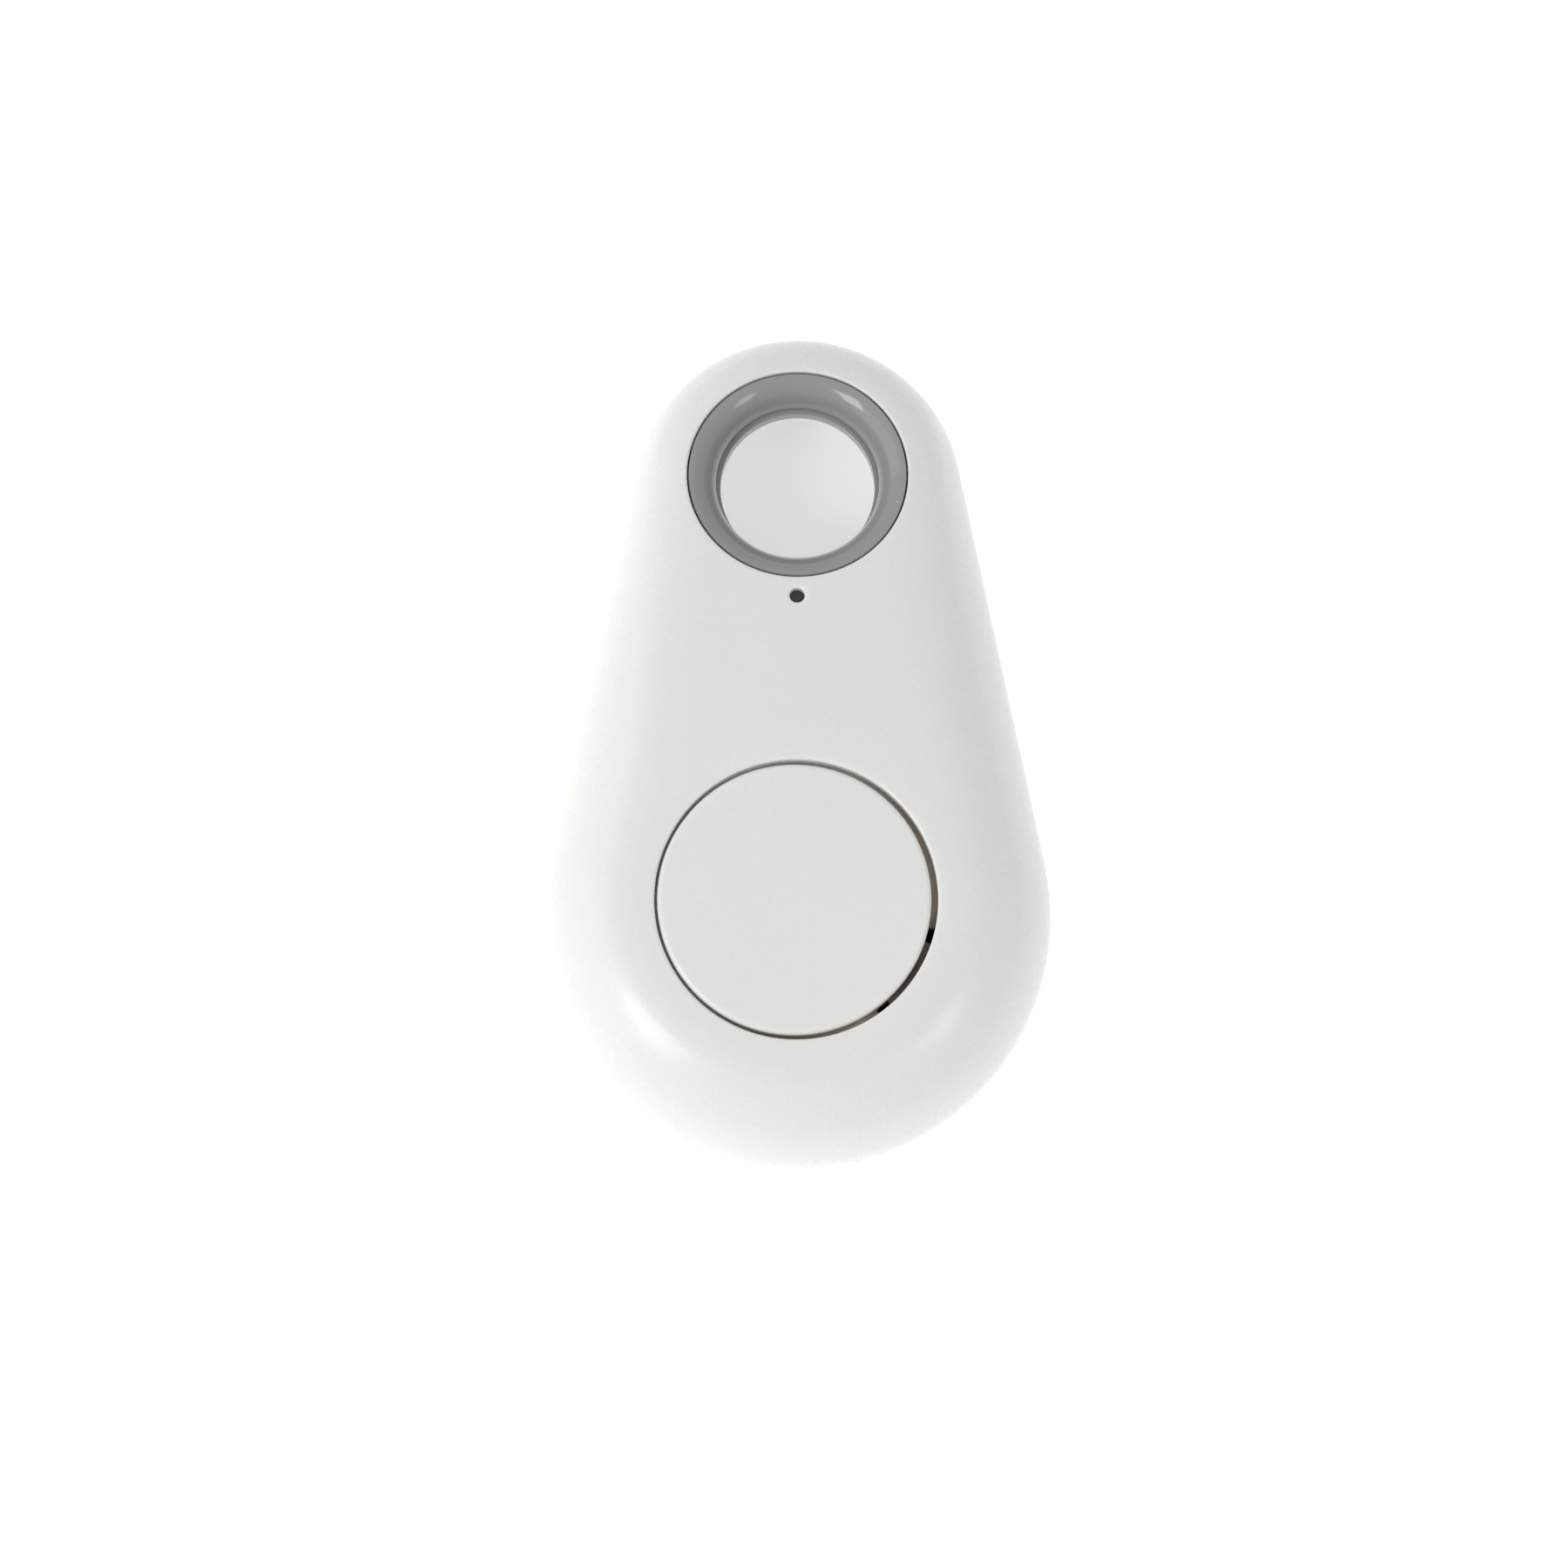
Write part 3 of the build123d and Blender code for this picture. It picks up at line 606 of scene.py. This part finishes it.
def specks(tree, coordinates, scale, size):
    """Sparse dust: 1 on small dots about the cells' points, 0 elsewhere."""
    cells = tree.nodes.new("ShaderNodeTexVoronoi")
    cells.inputs["Scale"].default_value = scale
    tree.links.new(coordinates, cells.inputs["Vector"])
    dots = mapped(tree, cells.outputs["Distance"], size * 0.6, size, 1.0, 0.0)
    chosen = mapped(tree, noise(tree, coordinates, scale * 0.35, 1.0), 0.56, 0.6, 0.0, 1.0)
    return calculated(tree, "MULTIPLY", dots, chosen)


def moulded_plastic(name, colour, roughness, tint, dust, dust_colour, wave=0.35, glow=0.0):
    """Polished moulding: faint flow waves, uneven polish, a little dust, and light through thin edges."""
    material, tree, shader, coordinates = material_base(name)
    broad = noise(tree, coordinates, 90, 3.0)
    darker = tuple(channel * (1 - tint) for channel in colour)
    body = mixed(tree, mapped(tree, broad, 0.35, 0.65, 0.0, 1.0), darker, colour)
    body = mixed(tree, specks(tree, coordinates, 900, dust), body, dust_colour)
    tree.links.new(body, shader.inputs["Base Color"])
    polish = noise(tree, coordinates, 700, 5.0, 0.6)
    gloss = mapped(tree, polish, 0.3, 0.7, roughness * 0.85, roughness * 1.2)
    tree.links.new(gloss, shader.inputs["Roughness"])
    flow = noise(tree, coordinates, 260, 4.0, 0.45)
    bumped(tree, shader, flow, 0.00006, wave)
    shader.inputs["IOR"].default_value = 1.5
    shader.inputs["Subsurface Weight"].default_value = glow
    shader.inputs["Subsurface Radius"].default_value = (1.0, 0.85, 0.7)
    shader.inputs["Subsurface Scale"].default_value = 0.6 * MM
    return material


def painted_gap_shade(material, centre_x, centre_y, low_z, high_z, towards):
    """Painted shade low in the gap round the button: tan lower down, and darkest brown on the side it is
    turned towards.
    """
    tree = material.node_tree
    shader = tree.nodes["Principled BSDF"]
    coordinates = next(node for node in tree.nodes if node.type == "TEX_COORD").outputs["Object"]
    split = tree.nodes.new("ShaderNodeSeparateXYZ")
    tree.links.new(coordinates, split.inputs["Vector"])
    depth = mapped(tree, split.outputs["Z"], low_z * MM, high_z * MM, 1.0, 0.0)
    across = calculated(tree, "MULTIPLY", calculated(tree, "SUBTRACT", split.outputs["X"], centre_x * MM),
                        math.cos(math.radians(towards)))
    along = calculated(tree, "MULTIPLY", calculated(tree, "SUBTRACT", split.outputs["Y"], centre_y * MM),
                       math.sin(math.radians(towards)))
    reach = APERTURE_RADIUS * MM
    side = calculated(tree, "ADD", across, along)
    tan_reach = mapped(tree, side, -0.4 * reach, 0.35 * reach, 0.0, 0.85)
    tan_shade_share = calculated(tree, "MULTIPLY", depth, tan_reach)
    brown_reach = mapped(tree, side, 0.86 * reach, 0.97 * reach, 0.0, 0.9)
    brown_shade_share = calculated(tree, "MULTIPLY", depth, brown_reach)
    # Painted shade: the base colour is mixed to tan low in the gap, and to dark brown on one side of it
    unshaded_colour = shader.inputs["Base Color"].links[0].from_socket
    tan = mixed(tree, tan_shade_share, unshaded_colour, (0.50, 0.40, 0.29))
    tree.links.new(mixed(tree, brown_shade_share, tan, (0.10, 0.068, 0.04)), shader.inputs["Base Color"])


def plated_metal(name, colour, roughness, grain):
    """Plated sheet: fine grain along one way, uneven tone and roughness."""
    material, tree, shader, coordinates = material_base(name)
    stretch = tree.nodes.new("ShaderNodeMapping")
    stretch.inputs["Scale"].default_value = (1.0, grain, 1.0)
    tree.links.new(coordinates, stretch.inputs["Vector"])
    lines = noise(tree, stretch.outputs["Vector"], 2500, 4.0, 0.6)
    dark = tuple(channel * 0.8 for channel in colour)
    tree.links.new(mixed(tree, lines, dark, colour), shader.inputs["Base Color"])
    gloss = mapped(tree, lines, 0.3, 0.7, roughness * 0.8, roughness * 1.25)
    tree.links.new(gloss, shader.inputs["Roughness"])
    shader.inputs["Metallic"].default_value = 1.0
    bumped(tree, shader, lines, 0.00001, 0.4)
    return material


def matte_solid(name, colour, roughness, scale, contrast):
    """Moulded, fired or pressed stuff: mottled tone with a fine grainy bump."""
    material, tree, shader, coordinates = material_base(name)
    grain = noise(tree, coordinates, scale, 5.0, 0.65)
    dark = tuple(channel * (1 - contrast) for channel in colour)
    light = tuple(min(1.0, channel * (1 + contrast)) for channel in colour)
    share = mapped(tree, grain, 0.3, 0.7, 0.0, 1.0)
    tree.links.new(mixed(tree, share, dark, light), shader.inputs["Base Color"])
    tree.links.new(mapped(tree, grain, 0.3, 0.7, roughness * 0.85, min(1.0, roughness * 1.15)),
                   shader.inputs["Roughness"])
    bumped(tree, shader, grain, 0.00002, 0.5)
    return material


def solder_mask(name):
    """Green solder mask over copper lands, with the weave of the glass faintly under it."""
    material, tree, shader, coordinates = material_base(name)
    tracks = tree.nodes.new("ShaderNodeTexBrick")
    tracks.inputs["Scale"].default_value = 260
    tracks.inputs["Mortar Size"].default_value = 0.05
    tree.links.new(coordinates, tracks.inputs["Vector"])
    mask = mixed(tree, noise(tree, coordinates, 150, 4.0), (0.008, 0.10, 0.035), (0.015, 0.17, 0.06))
    share = mapped(tree, tracks.outputs["Fac"], 0.0, 1.0, 0.0, 0.45)
    tree.links.new(mixed(tree, share, mask, (0.05, 0.26, 0.09)), shader.inputs["Base Color"])
    shader.inputs["Roughness"].default_value = 0.35
    weave = tree.nodes.new("ShaderNodeTexWave")
    weave.inputs["Scale"].default_value = 900
    tree.links.new(coordinates, weave.inputs["Vector"])
    bumped(tree, shader, weave.outputs["Fac"], 0.00001, 0.3)
    return material


def smoked_plastic(name):
    """Dark clear plastic of the light guide."""
    material, tree, shader, coordinates = material_base(name)
    haze = noise(tree, coordinates, 1800, 3.0)
    smoke = mixed(tree, haze, (0.012, 0.010, 0.009), (0.045, 0.036, 0.03))
    tree.links.new(smoke, shader.inputs["Base Color"])
    tree.links.new(mapped(tree, haze, 0.3, 0.7, 0.12, 0.25), shader.inputs["Roughness"])
    shader.inputs["Coat Weight"].default_value = 0.4
    return material


WHITE = (0.83, 0.835, 0.81)
GREY = (0.32, 0.32, 0.307)
CASE_DUST = (0.45, 0.43, 0.40)
BUTTON_DUST = (0.5, 0.48, 0.45)
LINING_DUST = (0.75, 0.74, 0.70)

MATERIALS = {
    "white_shell": moulded_plastic("white_case_plastic", WHITE, 0.26, 0.012, 0.012, CASE_DUST, 0.3, 0.5),
    "white_button": moulded_plastic("white_button_plastic", WHITE, 0.28, 0.01, 0.010, BUTTON_DUST, 0.2, 0.5),
    "grey_lining": moulded_plastic("grey_lining_plastic", GREY, 0.12, 0.05, 0.05, LINING_DUST, 0.25),
    "smoked_guide": smoked_plastic("smoked_guide_plastic"),
    "green_board": solder_mask("green_solder_mask"),
    "copper": plated_metal("bare_copper", (0.80, 0.40, 0.22), 0.3, 6.0),
    "black_chip": matte_solid("black_chip_moulding", (0.022, 0.022, 0.024), 0.55, 3000, 0.3),
    "ceramic_chip": matte_solid("tan_ceramic", (0.36, 0.24, 0.15), 0.6, 4000, 0.2),
    "black_resistor": matte_solid("black_ceramic", (0.02, 0.02, 0.024), 0.4, 4000, 0.3),
    "led_resin": matte_solid("pale_resin", (0.72, 0.70, 0.52), 0.2, 2500, 0.06),
    "plated_steel": plated_metal("nickel_plate", (0.62, 0.61, 0.57), 0.28, 8.0),
    "spring_steel": plated_metal("bright_spring_steel", (0.68, 0.68, 0.67), 0.22, 10.0),
    "screw_steel": plated_metal("zinc_plate", (0.52, 0.52, 0.52), 0.35, 3.0),
    "black_moulding": matte_solid("black_moulding", (0.028, 0.028, 0.03), 0.5, 2200, 0.25),
    "magnet": matte_solid("sintered_magnet", (0.09, 0.09, 0.10), 0.5, 3500, 0.3),
    "cell_steel": plated_metal("cell_nickel", (0.70, 0.70, 0.68), 0.2, 12.0),
    "gasket": matte_solid("seal_rubber", (0.05, 0.05, 0.055), 0.7, 2600, 0.2),
    "pellet": matte_solid("pressed_pellet", (0.02, 0.02, 0.02), 0.9, 5000, 0.4),
    "lithium": matte_solid("soft_metal", (0.45, 0.45, 0.46), 0.6, 1500, 0.15),
}


def finish_cad_nodes():
    """Give each carried-over CAD node its procedural material and smooth shading."""
    slots = {part["node"]: part["material_slot"] for part in frame["record"]["subparts"]}
    for node, obj in frame["nodes"].items():
        obj.data.materials.clear()
        obj.data.materials.append(MATERIALS[slots[node]])
        obj.data.shade_smooth()
        obj.data.set_sharp_from_angle(angle=math.radians(25))


def studio_floor():
    """Large pale floor at the height that the tag lies on."""
    bpy.ops.mesh.primitive_plane_add(size=4.0, location=(0, 0, 0))
    floor = bpy.context.object
    floor.name = "floor"
    material, tree, shader, coordinates = material_base("pale_floor")
    tone = mapped(tree, noise(tree, coordinates, 12, 3.0), 0.3, 0.7, 0.0, 1.0)
    tree.links.new(mixed(tree, tone, (0.90, 0.90, 0.895), (0.93, 0.93, 0.925)), shader.inputs["Base Color"])
    shader.inputs["Roughness"].default_value = 0.8
    shader.inputs["Emission Color"].default_value = (1.0, 1.0, 1.0, 1.0)
    shader.inputs["Emission Strength"].default_value = 0.45
    floor.data.materials.append(material)


def soft_box(name, azimuth, elevation, width, height, energy):
    """Area light half a metre from the tag, facing it."""
    target = Vector((0, 0, PARTING_Z * MM))
    around, up = math.radians(azimuth), math.radians(elevation)
    towards = Vector((math.cos(around) * math.cos(up), math.sin(around) * math.cos(up), math.sin(up)))
    data = bpy.data.lights.new(name, "AREA")
    data.shape = "RECTANGLE"
    data.size = width
    data.size_y = height
    data.energy = energy
    lamp = bpy.data.objects.new(name, data)
    bpy.context.scene.collection.objects.link(lamp)
    lamp.location = target + 0.5 * towards
    lamp.rotation_euler = towards.to_track_quat("Z", "Y").to_euler()


def studio_light():
    """Bright even room, a key light at the left, a low fill beside it and a weak light at the right."""
    world = bpy.data.worlds.new("studio")
    bpy.context.scene.world = world
    world.use_nodes = True
    background = world.node_tree.nodes["Background"]
    background.inputs["Color"].default_value = (1.0, 1.0, 1.0, 1.0)
    background.inputs["Strength"].default_value = 0.60
    soft_box("key_left", 212, 45, 0.16, 0.22, 0.62)
    soft_box("fill_left", 182, 24, 0.60, 0.40, 0.55)
    soft_box("weak_right", -32, 45, 0.12, 0.18, 0.22)


def camera():
    """Long lens well above the tag, leaning towards the button end."""
    tilt, roll = math.radians(12.64), math.radians(0.22)
    distance, focal = 231.6, 86.8
    target = Vector((0, 0, PARTING_Z + 1.01))
    eye = target + distance * Vector((0, -math.sin(tilt), math.cos(tilt)))
    aim = target + Vector((-0.768, -2.494, -0.534))
    data = bpy.data.cameras.new("camera")
    data.lens = focal
    data.sensor_width = 36.0
    data.clip_start = 0.01
    data.clip_end = 10.0
    rig = bpy.data.objects.new("camera", data)
    bpy.context.scene.collection.objects.link(rig)
    forward = (eye - aim).normalized()
    right = Vector((0, 1, 0)).cross(forward).normalized()
    turn = Matrix((right, forward.cross(right), forward)).transposed().to_4x4()
    rig.matrix_world = Matrix.Translation(eye * MM) @ turn @ Matrix.Rotation(roll, 4, "Z")
    bpy.context.scene.camera = rig


# Painted shade low in the gap round the button, darkest brown towards -32 degrees
painted_gap_shade(MATERIALS["white_button"], BUTTON_X, LOWER_Y, FLANGE_TOP_Z + 0.3, FLANGE_TOP_Z + 0.8, -32)
finish_cad_nodes()
front_shell(MATERIALS["white_shell"])
rear_shell(MATERIALS["white_shell"])
front_eyelet(MATERIALS["grey_lining"])
rear_eyelet(MATERIALS["grey_lining"])
button(MATERIALS["white_button"])
studio_floor()
studio_light()
camera()
bpy.context.scene.view_settings.view_transform = "Standard"

bpy.context.view_layer.update()
